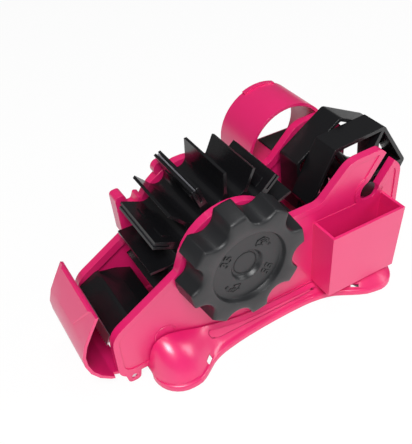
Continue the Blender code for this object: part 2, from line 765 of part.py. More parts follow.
def suction_cup(name, x, y):
    """Flat rubber cup with a wide sealing rim, hollow below."""
    profile = [
        (CORE_R, CUP_H), (CUP_POST_R, CUP_H), (CUP_R * 0.7, CUP_H * 0.62), (CUP_R, CUP_SKIN * 0.6),
        (CUP_R, 0), (CUP_R - CUP_LIP, 0), (CUP_R * 0.5, CUP_H - CUP_SKIN * 1.4), (CORE_R, CUP_H - CUP_SKIN * 1.2),
    ]
    rings = []
    for radius, z in profile:
        rings.append([(p[0], p[1], z) for p in circle(0, 0, radius, 16)])
    cup = rings_solid(name, rings, False, (x, y, -AXIS_HEIGHT))
    return smooth(finish(cup, CLEAR_GREY, 0.35))


# Drum.
def fin_angle(index):
    return FIRST_FIN + 2 * math.pi * index / FIN_COUNT


def fin_half(index):
    return (BLADE_FIN_T if index % FIN_COUNT in BLADE_FINS else FIN_T) / 2


def drum_outline():
    """Fins with straight faces joined by round concave troughs."""
    points = []
    pitch = 2 * math.pi / FIN_COUNT
    for k in range(FIN_COUNT):
        angle = fin_angle(k)
        along = Vector((math.cos(angle), math.sin(angle)))
        side = Vector((-along.y, along.x))
        half = fin_half(k)
        tip = math.sqrt(TIP_R ** 2 - half ** 2)
        points.append(along * tip - side * half)
        points.append(along * tip + side * half)
        after = fin_half(k + 1)
        centre_r = ROOT_R
        for _ in range(12):
            lead = pitch / 2 + (half - after) / (2 * centre_r * math.cos(pitch / 2))
            trough = centre_r * math.sin(lead) - half
            centre_r = ROOT_R + trough
        at = angle + lead
        centre = Vector((math.cos(at), math.sin(at))) * centre_r
        points += arc(
            centre.x, centre.y, trough,
            angle - math.pi / 2, angle + pitch + math.pi / 2 - 2 * math.pi, TROUGH_STEPS,
        )
    return points


def drum():
    """Finned drum with a thin shell, a middle web and a hub."""
    inner_r = ROOT_R - SHELL_T
    shell = prism("drum", drum_outline(), -DRUM_HALF, DRUM_HALF)
    for side in (-1, 1):
        hollow = turned("drum_hollow", [
            (HUB_R, side * WEB_T / 2), (inner_r, side * WEB_T / 2),
            (inner_r, side * DRUM_HALF * 1.2), (HUB_R, side * DRUM_HALF * 1.2),
        ], 36)
        cut(shell, hollow)
    cut(shell, rod("drum_bore", AXLE_R + SEAT_GAP / 2, -DRUM_HALF * 1.2, DRUM_HALF * 1.2))
    for k in BLADE_FINS:
        angle = fin_angle(k)
        half = BLADE_T / 2 + SEAT_GAP
        deep = TIP_R - BLADE_DEPTH - SEAT_GAP
        tool = prism("blade_slot", [(deep, -half), (TIP_R * 1.1, -half), (TIP_R * 1.1, half), (deep, half)],
                     -DRUM_HALF * 1.1, DRUM_HALF * 1.1)
        tool.rotation_euler = (0, -angle, 0)
        cut(shell, tool)
    return smooth(finish(shell, BLACK, 0.38))


def toothed_edge(y0, y1, base_x, height):
    """Points of a serrated edge that runs along Y, as (x, y)."""
    count = max(2, round((y1 - y0) / TOOTH_PITCH))
    pitch = (y1 - y0) / count
    points = []
    for k in range(count):
        points.append((base_x, y0 + pitch * k))
        points.append((base_x + height, y0 + pitch * (k + 0.5)))
    points.append((base_x, y1))
    return points


def blade_strip(name, length_half, back_x, edge_x, height):
    """Thin serrated strip; it lies in its local XY plane, teeth toward +X."""
    outline = toothed_edge(-length_half, length_half, edge_x, height)
    outline += [(back_x, length_half), (back_x, -length_half)]
    bm = bmesh.new()
    ring = [bm.verts.new((x, y, -BLADE_T / 2)) for x, y in outline]
    end = bm.faces.new(ring)
    grown = bmesh.ops.extrude_face_region(bm, geom=[end])
    moved = [v for v in grown["geom"] if isinstance(v, bmesh.types.BMVert)]
    bmesh.ops.translate(bm, vec=(0, 0, BLADE_T), verts=moved)
    if len(bm.faces) == len(outline) + 1:
        bm.faces.new(ring)
    return new_object(name, bm)


def drum_blades():
    for number, k in enumerate(BLADE_FINS, 1):
        strip = blade_strip(
            "drum_blade_%d" % number, DRUM_HALF - BLADE_END, TIP_R - BLADE_DEPTH,
            TIP_R + BLADE_PROUD - TOOTH_H, TOOTH_H,
        )
        strip.rotation_euler = (0, -fin_angle(k), 0)
        finish(strip, DARK_STEEL, 0.35, 1)


def drum_axle():
    near = -(KNOB_FACE + DISC_RISE - CAP_SINK - SEAT_GAP)
    far = WALL_OUT + AXLE_END
    return smooth(finish(rod("drum_axle", AXLE_R, near, far), STEEL, 0.35, 1))


def bush(name, side):
    """Flanged bush in a side wall."""
    inner = side * (WALL_IN - BUSH_FLANGE_T)
    lip = side * (WALL_IN - SEAT_GAP)
    outer = side * WALL_OUT
    profile = [
        (AXLE_R + RUN_GAP, inner), (BUSH_R + BUSH_FLANGE_W, inner), (BUSH_R + BUSH_FLANGE_W, lip),
        (BUSH_R, lip), (BUSH_R, outer), (AXLE_R + RUN_GAP, outer),
    ]
    return smooth(finish(turned(name, profile, 24), BLACK, 0.5))


# Knob.
def knob_angles():
    """Angles of one ring's points: close together in the scallops, apart on the lobes."""
    edge = math.acos((KNOB_R ** 2 + SCALLOP_AT ** 2 - SCALLOP_R ** 2) / (2 * KNOB_R * SCALLOP_AT))
    half = math.pi / KNOB_LOBES
    offsets = [edge * k / 3 for k in range(-3, 4)] + [edge + (half - edge) * 2 / 3, half * 2 - edge - (half - edge) * 2 / 3]
    return [
        (KNOB_PHASE + half * (2 * lobe + 1) + offset, offset if offset <= edge * 1.001 else None)
        for lobe in range(KNOB_LOBES) for offset in offsets
    ]


def lobed_ring(inset, y):
    """Scalloped ring, moved inward by the inset."""
    ring = []
    for angle, offset in knob_angles():
        radius = KNOB_R - inset
        if offset is not None:
            wide = SCALLOP_R + inset
            reach = SCALLOP_AT * math.sin(offset)
            radius = min(radius, SCALLOP_AT * math.cos(offset) - math.sqrt(wide ** 2 - reach ** 2))
        ring.append((radius * math.cos(angle), y, radius * math.sin(angle)))
    return ring


def round_ring(radius, y):
    return [(radius * math.cos(angle), y, radius * math.sin(angle)) for angle, _ in knob_angles()]


def knob():
    bore = AXLE_R + SEAT_GAP
    back = -KNOB_BACK
    face = -KNOB_FACE
    deep = face + KNOB_SKIN
    disc = face - DISC_RISE
    seat = disc + CAP_SINK
    rings = [
        round_ring(bore, back),
        round_ring(HUB_R, back),
        round_ring(HUB_R, deep),
        lobed_ring(KNOB_SKIN, deep),
        lobed_ring(KNOB_SKIN, back),
        lobed_ring(0, back),
        lobed_ring(0, face + KNOB_EDGE),
        lobed_ring(KNOB_EDGE * 0.3, face + KNOB_EDGE * 0.3),
        lobed_ring(KNOB_EDGE, face),
        round_ring(DISC_R, face),
        round_ring(DISC_R - STEP_EDGE * 0.4, disc + STEP_EDGE),
        round_ring(DISC_R - STEP_EDGE * 1.4, disc),
        round_ring(BOSS_R + SEAT_GAP, disc),
        round_ring(BOSS_R + SEAT_GAP, seat),
        round_ring(bore, seat),
    ]
    obj = rings_solid("knob", rings, True)
    return smooth(finish(obj, BLACK, 0.42), KNOB_CREASE)


def knob_cap():
    """Raised button that covers the screw in the middle of the knob."""
    disc = -KNOB_FACE - DISC_RISE
    foot = disc + CAP_SINK - SEAT_GAP
    top = disc - BOSS_RISE
    obj = turned("knob_cap", [
        (CORE_R, foot), (BOSS_R, foot), (BOSS_R, top + STEP_EDGE),
        (BOSS_R - STEP_EDGE, top), (CORE_R, top),
    ], 28)
    return smooth(finish(obj, BLACK, 0.35))


def axle_cap():
    """Clip cap on the far end of the drum's axle."""
    start = WALL_OUT + SEAT_GAP
    bore_end = WALL_OUT + AXLE_END + SEAT_GAP
    end = bore_end + END_CAP_T
    wide = BUSH_R + END_CAP_W
    obj = turned("axle_cap", [
        (CORE_R, bore_end), (AXLE_R + SEAT_GAP, bore_end), (AXLE_R + SEAT_GAP, start), (wide, start),
        (wide, end - END_CAP_EDGE), (wide - END_CAP_EDGE, end), (CORE_R, end),
    ], 24)
    return smooth(finish(obj, PINK, 0.35))


# Tape spool.
def hexagon(radius, turn):
    return [
        Vector((-radius * math.sin(turn + math.pi * k / 3), radius * math.cos(turn + math.pi * k / 3)))
        for k in range(6)
    ]


def hex_corners(radius, turn, corner_r):
    return rounded([(p.x, p.y, corner_r) for p in hexagon(radius, turn)], 2)


def spool_half(name, side, turn):
    """One hexagonal band with six spokes and its half of the hub."""
    inner = SEAT_GAP / 2 * side
    outer = side * SPOOL_HALF
    y0, y1 = min(inner, outer), max(inner, outer)
    loops = [
        hex_corners(SPOOL_R, turn, BAND_ARC),
        hex_corners(SPOOL_R - SPOOL_SKIN * 1.15, turn, BAND_INNER_ARC),
    ]
    seat = (SPOOL_X, 0, SPOOL_Z)
    obj = plate(name, loops, y0, y1, seat)
    hub_loops = [circle(0, 0, SPOOL_HUB_R, 24), circle(0, 0, SPOOL_AXLE_R + RUN_GAP, 24)]
    star = plate("hub_tube", hub_loops, y0, y1, seat)
    web_y = outer - side * WEB_DEPTH
    w0, w1 = min(web_y, outer), max(web_y, outer)
    for k in range(3):
        angle = turn + math.pi / 2 + math.pi * k / 3
        reach = SPOOL_R - SPOOL_SKIN * 0.6
        for way in (0, math.pi):
            spoke = prism("spoke", [
                (SPOOL_HUB_R - SPOKE_ROOT, -SPOKE_T), (reach, -SPOKE_T / 2),
                (reach, SPOKE_T / 2), (SPOOL_HUB_R - SPOKE_ROOT, SPOKE_T),
            ], w0, w1, seat)
            spoke.rotation_euler = (0, -(angle + way), 0)
            join(star, spoke)
    join(obj, star)
    return smooth(finish(obj, BLACK, 0.4), BAND_CREASE)


def spool_axle():
    """Loose axle: its ends drop into the keyhole slots, its flanges stay inside the walls."""
    end = WALL_OUT - PANEL_OUT - 2 * SEAT_GAP
    flange_out = WALL_IN - FLANGE_GAP
    flange_in = SPOOL_HALF + BAND_GAP
    obj = turned("spool_axle", [
        (CORE_R, -end), (SPOOL_AXLE_R, -end), (SPOOL_AXLE_R, -flange_out),
        (SPOOL_HUB_R, -flange_out), (SPOOL_HUB_R, -flange_in), (SPOOL_AXLE_R, -flange_in),
        (SPOOL_AXLE_R, flange_in), (SPOOL_HUB_R, flange_in), (SPOOL_HUB_R, flange_out),
        (SPOOL_AXLE_R, flange_out), (SPOOL_AXLE_R, end), (CORE_R, end),
    ], 24, (SPOOL_X, 0, SPOOL_Z))
    return smooth(finish(obj, BLACK, 0.4))


# Cutter and guard.
def cutter_block():
    """Black bridge between the walls: the tape runs over its top to the front blade."""
    half = WALL_IN - SEAT_GAP
    return smooth(finish(prism("cutter_block", rounded(BRIDGE_CORNERS, 3), -half, half), BLACK, 0.35))


def cutter_blade():
    """Front blade, held on the nose of the cutter block with its teeth downward."""
    nose_top = Vector(BRIDGE_CORNERS[3][:2])
    nose_foot = Vector(BRIDGE_CORNERS[4][:2])
    tilt = math.atan2(nose_top.y - nose_foot.y, nose_top.x - nose_foot.x)
    tooth = TOOTH_H * 1.4
    strip = blade_strip("cutter_blade", WALL_IN - 2 * SEAT_GAP, -EDGE_BACK, EDGE_REACH, tooth)
    off = BLADE_T / 2 + SEAT_GAP
    on_nose = (nose_top + nose_foot) / 2
    middle = Vector((on_nose.x, 0, on_nose.y))
    outward = Vector((-math.sin(tilt), 0, math.cos(tilt)))
    strip.location = middle + outward * off
    strip.rotation_euler = (0, math.pi - tilt, 0)
    return finish(strip, STEEL, 0.28, 1)


def guard_profile():
    """Centre line of the guard's sheet, from its hinge to the thumb edge."""
    return [Vector((HINGE_X, HINGE_Z)) + Vector(knot) for knot in GUARD_KNOTS]


def offset_strip(line, half):
    """Outline of a strip of even thickness along a line."""
    left = []
    right = []
    for i, point in enumerate(line):
        before = line[max(i - 1, 0)]
        after = line[min(i + 1, len(line) - 1)]
        run = (after - before).normalized()
        normal = Vector((-run.y, run.x))
        left.append(point + normal * half)
        right.append(point - normal * half)
    return left + right[::-1]


def blade_guard():
    """Pink spring guard in front of the blade, hinged at the bottom of the walls."""
    line = guard_profile()
    place = (HINGE_X, 0, HINGE_Z)
    here = Vector((HINGE_X, HINGE_Z))
    strip = [p - here for p in offset_strip(line, GUARD_T / 2)]
    obj = prism("blade_guard", strip, -GUARD_HALF, GUARD_HALF, place)
    inside = WALL_IN - SEAT_GAP
    for side in (-1, 1):
        y0, y1 = sorted((side * inside, side * GUARD_HALF * 1.2))
        low = (-GUARD_SHOULDER, y0, -GUARD_SHOULDER)
        cut(obj, block("guard_side", low, (GUARD_SHOULDER, y1, GUARD_SHOULDER), place))
    knuckle_half = inside
    join(obj, rod("guard_knuckle", KNUCKLE_R, -knuckle_half, knuckle_half, place, 24))
    cut(obj, rod("guard_bore", PIN_R + RUN_GAP, -GUARD_HALF * 1.2, GUARD_HALF * 1.2, place, 16))
    # Spring pocket in the middle of the knuckle.
    cut(obj, block("spring_pocket", (-KNUCKLE_R * 1.1, -SPRING_HALF, -KNUCKLE_R * 1.1),
                   (KNUCKLE_R * 1.3, SPRING_HALF, KNUCKLE_R * 1.1), place))
    # Thumb pad: a raised facet, wide at the top edge and narrower below.
    top = line[-1] - here
    low = line[-3] - here
    run = (top - low).normalized()
    out = Vector((run.y, -run.x)) * -1
    rings = []
    for level, edge in ((0.2, 1.0), (1.0, 0.9)):
        lift = out * (GUARD_T / 2 * 0.5 + PAD_RAISE * level)
        t = top + lift - run * (1 - edge) * PAD_LOW_NEAR
        b = low + lift + run * PAD_MARGIN
        rings.append([
            (t.x, -PAD_TOP_NEAR * edge, t.y), (t.x, PAD_TOP_FAR * edge, t.y),
            (b.x, PAD_LOW_FAR * edge, b.y), (b.x, -PAD_LOW_NEAR * edge, b.y),
        ])
    join(obj, rings_solid("thumb_pad", rings, False, place))
    return smooth(finish(obj, PINK, 0.32))


def guard_pin():
    half = WALL_OUT - PIN_END
    return smooth(finish(rod("guard_pin", PIN_R, -half, half, (HINGE_X, 0, HINGE_Z), 16), STEEL, 0.3, 1))


def guard_spring():
    """Torsion spring on the guard's pin."""
    coil_r = PIN_R + COIL_GAP + WIRE_R
    turns = 5
    steps = 8
    half = SPRING_HALF - WIRE_R - COIL_GAP - SEAT_GAP
    route = []
    for k in range(turns * steps + 1):
        angle = 2 * math.pi * k / steps
        y = -half + 2 * half * k / (turns * steps)
        route.append((coil_r * math.cos(angle), y, coil_r * math.sin(angle)))
    route.insert(0, (coil_r, -half, -SPRING_TAIL))
    curve = bpy.data.curves.new("guard_spring", "CURVE")
    curve.dimensions = "3D"
    curve.bevel_depth = WIRE_R
    curve.bevel_resolution = 1
    curve.use_fill_caps = True
    spline = curve.splines.new("POLY")
    spline.points.add(len(route) - 1)
    for point, (x, y, z) in zip(spline.points, route):
        point.co = (x, y, z, 1)
    wire = bpy.data.objects.new("spring_wire", curve)
    CUTTERS.objects.link(wire)
    bpy.context.view_layer.update()
    graph = bpy.context.evaluated_depsgraph_get()
    mesh = bpy.data.meshes.new_from_object(wire.evaluated_get(graph))
    bpy.data.objects.remove(wire, do_unlink=True)
    bm = bmesh.new()
    bm.from_mesh(mesh)
    obj = new_object("guard_spring", bm, (HINGE_X, 0, HINGE_Z))
    return smooth(finish(obj, STEEL, 0.3, 1))


# Cross posts.
def posts_and_screws():
    half = WALL_IN - PANEL_IN
    for number, (x, z) in enumerate(POST_PLACES, 1):
        place = (x, 0, z)
        y0 = -(WALL_IN + PANEL_IN - SEAT_GAP)
        y1 = WALL_IN + PANEL_IN - SEAT_GAP
        bore = SCREW_R + SEAT_GAP / 2
        blind = y1 - SCREW_BORE
        post = turned("tie_post_%d" % number, [
            (CORE_R, y0), (POST_R, y0), (POST_R, y1), (bore, y1), (bore, blind), (CORE_R, blind),
        ], 14, place)
        smooth(finish(post, PINK, 0.4))
        head = WALL_OUT - PANEL_OUT + SEAT_GAP
        tip = blind + SCREW_TIP_GAP
        screw = turned("tie_screw_%d" % number, [
            (CORE_R, tip), (SCREW_R, tip), (SCREW_R, head), (HEAD_R, head),
            (HEAD_R * 0.8, head + HEAD_H), (CORE_R, head + HEAD_H),
        ], 14, place)
        smooth(finish(screw, STEEL, 0.35, 1))


def stand_on_origin():
    """Shift the assembly so that its box stands centred on the world origin."""
    bpy.context.view_layer.update()
    corners = [
        obj.matrix_world @ vert.co
        for obj in PARTS.objects if obj.type == "MESH"
        for vert in obj.data.vertices
    ]
    low = [min(c[i] for c in corners) for i in range(3)]
    high = [max(c[i] for c in corners) for i in range(3)]
    ASSEMBLY.location = (-(low[0] + high[0]) / 2, -(low[1] + high[1]) / 2, -low[2])


def main():
    near_frame()
    far_frame()
    hoop_pad()
    base()
    for number, (x, side) in enumerate(
        ((FRONT_FOOT_X, -1), (REAR_FOOT_X, -1), (FRONT_FOOT_X, 1), (REAR_FOOT_X, 1)), 1
    ):
        suction_cup("suction_cup_%d" % number, x, side * FOOT_Y)
    drum()
    drum_blades()
    drum_axle()
    bush("near_bush", -1)
    bush("far_bush", 1)
    knob()
    knob_cap()
    axle_cap()
    spool_half("spool_near", -1, NEAR_TURN)
    spool_half("spool_far", 1, NEAR_TURN + math.pi / 6)
    spool_axle()
    cutter_block()
    cutter_blade()
    blade_guard()
    guard_pin()
    guard_spring()
    posts_and_screws()
    stand_on_origin()


main()
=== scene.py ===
"""Looks of the tape dispenser: materials, the knob's dish and marks, small relief, lights, camera.

World frame as in the CAD: metres, +X to the rear, the knob on the -Y side, +Z up.
"""
import json
import math

import bmesh
import bpy
from mathutils import Matrix, Vector


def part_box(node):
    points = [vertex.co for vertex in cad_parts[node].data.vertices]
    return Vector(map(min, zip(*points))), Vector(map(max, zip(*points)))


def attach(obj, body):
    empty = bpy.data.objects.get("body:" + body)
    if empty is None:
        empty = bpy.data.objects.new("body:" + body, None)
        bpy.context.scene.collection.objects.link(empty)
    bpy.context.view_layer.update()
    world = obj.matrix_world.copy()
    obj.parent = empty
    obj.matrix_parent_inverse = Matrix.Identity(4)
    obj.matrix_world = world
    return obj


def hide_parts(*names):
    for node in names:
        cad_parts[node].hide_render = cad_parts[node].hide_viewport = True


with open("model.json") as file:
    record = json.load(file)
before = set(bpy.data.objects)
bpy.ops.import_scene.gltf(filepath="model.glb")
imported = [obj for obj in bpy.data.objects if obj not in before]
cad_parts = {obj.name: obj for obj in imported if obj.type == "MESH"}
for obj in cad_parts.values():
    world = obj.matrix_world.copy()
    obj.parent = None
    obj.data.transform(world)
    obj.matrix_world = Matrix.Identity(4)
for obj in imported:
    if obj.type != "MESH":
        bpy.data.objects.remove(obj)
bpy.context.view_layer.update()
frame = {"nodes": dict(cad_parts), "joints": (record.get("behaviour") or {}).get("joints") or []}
NODES = frame["nodes"]
MM = 0.001

# The drum's axis, and the fins' places round it.
DRUM_SPIN = next(joint for joint in frame["joints"] if joint["name"] == "drum_spin")
AXIS = Vector(DRUM_SPIN["pos_m"])
FIN_COUNT = 16
FIRST_FIN = math.radians(21)
BLADE_FINS = (1, 4, 6, 9, 12, 14)

# Surface textures: scales of the noises, and heights in metres.
SLOW_SCALE = 38.0
PINK_GRAIN = 2600.0
BLACK_GRAIN = 3200.0
CUP_GRAIN = 900.0
BRUSH_SCALE = 900.0
BRUSH_STRETCH = (1, 0.05, 1)
GRAIN_HEIGHT = 0.2 * MM
BRUSH_HEIGHT = 0.1 * MM
EDGE_SAMPLES = 4

# Angles in degrees over which edges stay sharp, and the distance for joining points.
EDGE_ANGLE = 30
EDGE_ANGLES = {"knob": 40, "knob_cap": 40, "base": 62, "drum": 24}
PIECE_ANGLE = 35
WELD_DIST = 0.01 * MM


def new_material(name, colour, roughness, metallic=0.0):
    """A material with its shader, in one colour, roughness and metallic value."""
    mat = bpy.data.materials.new(name)
    mat.use_nodes = True
    shader = mat.node_tree.nodes["Principled BSDF"]
    shader.inputs["Base Color"].default_value = (*colour, 1)
    shader.inputs["Roughness"].default_value = roughness
    shader.inputs["Metallic"].default_value = metallic
    mat.diffuse_color = (*colour, 1)
    return mat, shader


def add(owner, kind, **values):
    """A node of a material or world, with its sockets and properties set by name."""
    node = owner.node_tree.nodes.new(kind)
    for name, value in values.items():
        label = name.replace("_", " ").title()
        if hasattr(node, name):
            setattr(node, name, value)
        else:
            node.inputs[label].default_value = value
    return node


def link(owner, out, into):
    owner.node_tree.links.new(out, into)


def surface_grain(mat, shader, grain, bump, edge, spread, rough_spread):
    """Rounded edges, fine moulded grain, and slow drift of colour and gloss."""
    place = add(mat, "ShaderNodeTexCoord")
    fine = add(mat, "ShaderNodeTexNoise", scale=grain, detail=3.0)
    slow = add(mat, "ShaderNodeTexNoise", scale=SLOW_SCALE, detail=2.0)
    for noise in (fine, slow):
        link(mat, place.outputs["Object"], noise.inputs["Vector"])
    lift = add(mat, "ShaderNodeBump", strength=bump, distance=GRAIN_HEIGHT)
    soft = add(mat, "ShaderNodeBevel", samples=EDGE_SAMPLES)
    soft.inputs["Radius"].default_value = edge
    link(mat, fine.outputs["Fac"], lift.inputs["Height"])
    link(mat, soft.outputs["Normal"], lift.inputs["Normal"])
    link(mat, lift.outputs["Normal"], shader.inputs["Normal"])
    base = tuple(shader.inputs["Base Color"].default_value)[:3]
    tint = add(mat, "ShaderNodeMix", data_type="RGBA")
    dark, pale = (socket for socket in tint.inputs if socket.type == "RGBA")
    dark.default_value = (*(c * (1 - spread) for c in base), 1)
    pale.default_value = (*(min(c * (1 + spread), 1) for c in base), 1)
    mixed = next(socket for socket in tint.outputs if socket.type == "RGBA")
    link(mat, slow.outputs["Fac"], tint.inputs["Factor"])
    link(mat, mixed, shader.inputs["Base Color"])
    vary_gloss(mat, shader, fine, rough_spread, rough_spread)


def vary_gloss(mat, shader, noise, less, more):
    """Let the roughness follow a noise, from a little less to a little more."""
    gloss = add(mat, "ShaderNodeMapRange")
    level = shader.inputs["Roughness"].default_value
    gloss.inputs["To Min"].default_value = level - less
    gloss.inputs["To Max"].default_value = level + more
    link(mat, noise.outputs["Fac"], gloss.inputs["Value"])
    link(mat, gloss.outputs["Result"], shader.inputs["Roughness"])


def pink_plastic():
    """Glossy hot pink with a clear skin, as moulded."""
    mat, shader = new_material("pink_plastic", (0.70, 0.012, 0.135), 0.33)
    shader.inputs["Specular IOR Level"].default_value = 0.8
    shader.inputs["Subsurface Weight"].default_value = 0.06
    shader.inputs["Subsurface Radius"].default_value = (4 * MM, 1 * MM, 2 * MM)
    shader.inputs["Coat Weight"].default_value = 0.25
    shader.inputs["Coat Roughness"].default_value = 0.16
    surface_grain(mat, shader, PINK_GRAIN, bump=0.06, edge=0.3 * MM, spread=0.04, rough_spread=0.05)
    return mat


def black_plastic(name, colour, roughness, bump, edge):
    """Moulded black, with the depth of its grain and the width of its rounded edges."""
    mat, shader = new_material(name, colour, roughness)
    shader.inputs["Specular IOR Level"].default_value = 0.5
    surface_grain(mat, shader, BLACK_GRAIN, bump, edge, spread=0.12, rough_spread=0.05)
    return mat


def steel(name, colour, roughness):
    """Ground steel with brushing lines across the machine."""
    mat, shader = new_material(name, colour, roughness, 1.0)
    place = add(mat, "ShaderNodeTexCoord")
    scale = add(mat, "ShaderNodeMapping")
    scale.inputs["Scale"].default_value = BRUSH_STRETCH
    lines = add(mat, "ShaderNodeTexNoise", scale=BRUSH_SCALE, detail=2.0)
    link(mat, place.outputs["Object"], scale.inputs["Vector"])
    link(mat, scale.outputs["Vector"], lines.inputs["Vector"])
    vary_gloss(mat, shader, lines, less=0.1, more=0.14)
    lift = add(mat, "ShaderNodeBump", strength=0.12, distance=BRUSH_HEIGHT)
    link(mat, lines.outputs["Fac"], lift.inputs["Height"])
    link(mat, lift.outputs["Normal"], shader.inputs["Normal"])
    return mat


def soft_rubber():
    """Milky, slightly clear rubber of the suction cups."""
    mat, shader = new_material("cup_rubber", (0.62, 0.60, 0.60), 0.28)
    shader.inputs["Transmission Weight"].default_value = 0.45
    shader.inputs["IOR"].default_value = 1.43
    surface_grain(mat, shader, CUP_GRAIN, bump=0.04, edge=0.4 * MM, spread=0.04, rough_spread=0.04)
    return mat


PINK = pink_plastic()
DRUM_BLACK = black_plastic("drum_black", (0.006, 0.006, 0.007), 0.24, bump=0.05, edge=0.3 * MM)
KNOB_BLACK = black_plastic("knob_black", (0.012, 0.0125, 0.014), 0.38, bump=0.12, edge=1.2 * MM)
SPOOL_BLACK = black_plastic("spool_black", (0.006, 0.006, 0.007), 0.30, bump=0.08, edge=0.6 * MM)
# Black for the knob's raised marks; on the screws' heads the same black is painted shade for their cross
# recesses.
MARK_AND_SHADE_BLACK = black_plastic("mark_and_shade_black", (0.010, 0.010, 0.011), 0.35, bump=0.04, edge=0.1 * MM)
PAD_RUBBER = black_plastic("pad_rubber", (0.020, 0.020, 0.020), 0.75, bump=0.5, edge=0.3 * MM)
CUP_RUBBER = soft_rubber()
BLADE_STEEL = steel("blade_steel", (0.66, 0.66, 0.67), 0.30)
DARK_STEEL = steel("dark_steel", (0.045, 0.045, 0.05), 0.36)
PLAIN_STEEL = steel("plain_steel", (0.62, 0.62, 0.63), 0.34)

FINISHES = {
    "near_frame": PINK, "far_frame": PINK, "base": PINK, "blade_guard": PINK, "axle_cap": PINK,
    "drum": DRUM_BLACK, "cutter_block": DRUM_BLACK, "near_bush": DRUM_BLACK, "far_bush": DRUM_BLACK,
    "knob": KNOB_BLACK, "knob_cap": KNOB_BLACK, "spool_near": SPOOL_BLACK, "spool_far": SPOOL_BLACK,
    "spool_axle": SPOOL_BLACK, "hoop_pad": PAD_RUBBER, "cutter_blade": BLADE_STEEL,
    "drum_axle": PLAIN_STEEL, "guard_pin": PLAIN_STEEL, "guard_spring": PLAIN_STEEL,
}
CORNERS = range(1, 5)
for number in CORNERS:
    FINISHES["suction_cup_%d" % number] = CUP_RUBBER
    FINISHES["tie_post_%d" % number] = PINK
    FINISHES["tie_screw_%d" % number] = PLAIN_STEEL
for number in range(1, len(BLADE_FINS) + 1):
    FINISHES["drum_blade_%d" % number] = DARK_STEEL


def dress_nodes():
    """Give each CAD node its finish, and soft shading between its true edges."""
    for name, obj in NODES.items():
        mesh = obj.data
        mesh.materials.clear()
        mesh.materials.append(FINISHES[name])
        if "custom_normal" in mesh.attributes:
            mesh.attributes.remove(mesh.attributes["custom_normal"])
        mesh.polygons.foreach_set("use_smooth", [True] * len(mesh.polygons))
        weld = obj.modifiers.new("weld", "WELD")
        weld.merge_threshold = WELD_DIST
        edges = obj.modifiers.new("edges", "EDGE_SPLIT")
        edges.split_angle = math.radians(EDGE_ANGLES.get(name, EDGE_ANGLE))
        edges.use_edge_sharp = False
        soft = obj.modifiers.new("soft", "WEIGHTED_NORMAL")
        soft.weight = 50


def piece(name, bm, mat, body, matrix=Matrix.Identity(4)):
    """Make a piece, give it its finish, and let it ride."""
    bmesh.ops.recalc_face_normals(bm, faces=bm.faces)
    mesh = bpy.data.meshes.new(name)
    bm.to_mesh(mesh)
    bm.free()
    mesh.transform(matrix)
    obj = bpy.data.objects.new(name, mesh)
    bpy.context.scene.collection.objects.link(obj)
    mesh.materials.append(mat)
    mesh.polygons.foreach_set("use_smooth", [True] * len(mesh.polygons))
    mesh.set_sharp_from_angle(angle=math.radians(PIECE_ANGLE))
    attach(obj, body)
    return obj


def slab(bm, outline, low, high):
    """A flat shape in the XZ plane with depth along Y."""
    ring = [bm.verts.new((x, low, z)) for x, z in outline]
    face = bm.faces.new(ring)
    grown = bmesh.ops.extrude_face_region(bm, geom=[face])
    moved = [v for v in grown["geom"] if isinstance(v, bmesh.types.BMVert)]
    bmesh.ops.translate(bm, vec=(0, high - low, 0), verts=moved)


def circle(radius, y, steps):
    """Points round the Y axis, given in millimetres."""
    turns = [2 * math.pi * k / steps for k in range(steps)]
    return [(radius * MM * math.cos(a), y * MM, radius * MM * math.sin(a)) for a in turns]


def loft(bm, rings, closed):
    """Faces between rings of points; a closed loft comes back to its first ring."""
    loops = [[bm.verts.new(point) for point in ring] for ring in rings]
    ends = loops[1:] + loops[:1] if closed else loops[1:]
    for first, second in zip(loops, ends):
        for k in range(len(first)):
            after = (k + 1) % len(first)
            bm.faces.new((first[k], first[after], second[after], second[k]))
    return loops


# The knob, in millimetres from the drum's axis: its lobes, its dish and the dish's well.
KNOB_STEPS = 160
KNOB_LOBES = 8
KNOB_PHASE = math.radians(32.5)
KNOB_BORE = 7.0
KNOB_BACK_Y = -28.6
KNOB_FACE_Y = -44.6
KNOB_BACK_R = 36.4
BACK_RIM = 3.0
KNOB_FRONT_R = 35.2
KNOB_EDGE = 1.9
SCALLOP_R = 8.8
SCALLOP_OUT = 2.0
LOBE_BLEND = 1.6
DISH_Y = -41.2
DISH_R = 22.4
WELL_Y = -38.9
WELL_R = 9.3

# The knob's rounded edge, as shares of its width: how far back, and how far in.
EDGE_SHARES = ((1, 0), (0.62, 0.08), (0.29, 0.29), (0.08, 0.62), (0, 1))

# The dish's and the well's rounded steps: beyond the radius, and beyond the plane named.
DISH_TOP = ((0.7, 0), (0.2, 0.25), (0, 0.8))
DISH_FOOT = ((-0.5, -0.7), (-0.8, -0.15), (-1.5, 0))
WELL_TOP = ((0.6, 0), (0, 0.5))
WELL_FOOT = ((-0.5, -0.5), (-1.1, 0))


def lobed_ring(radius, y, inset=0.0):
    """One ring of the knob: eight scallops, blended into the lobes between them."""
    points = []
    reach = radius + SCALLOP_OUT
    wide = SCALLOP_R + inset
    pitch = 2 * math.pi / KNOB_LOBES
    for k in range(KNOB_STEPS):
        angle = 2 * math.pi * k / KNOB_STEPS
        near = (angle - KNOB_PHASE + pitch / 2) % pitch - pitch / 2
        across = reach * math.sin(near)
        size = radius - inset
        if abs(across) < wide:
            floor = reach * math.cos(near) - math.sqrt(wide ** 2 - across ** 2)
            gap = size - floor
            if gap > LOBE_BLEND:
                size = floor
            elif gap > -LOBE_BLEND:
                size -= (gap + LOBE_BLEND) ** 2 / (4 * LOBE_BLEND)
        points.append((size * MM * math.cos(angle), y * MM, size * MM * math.sin(angle)))
    return points


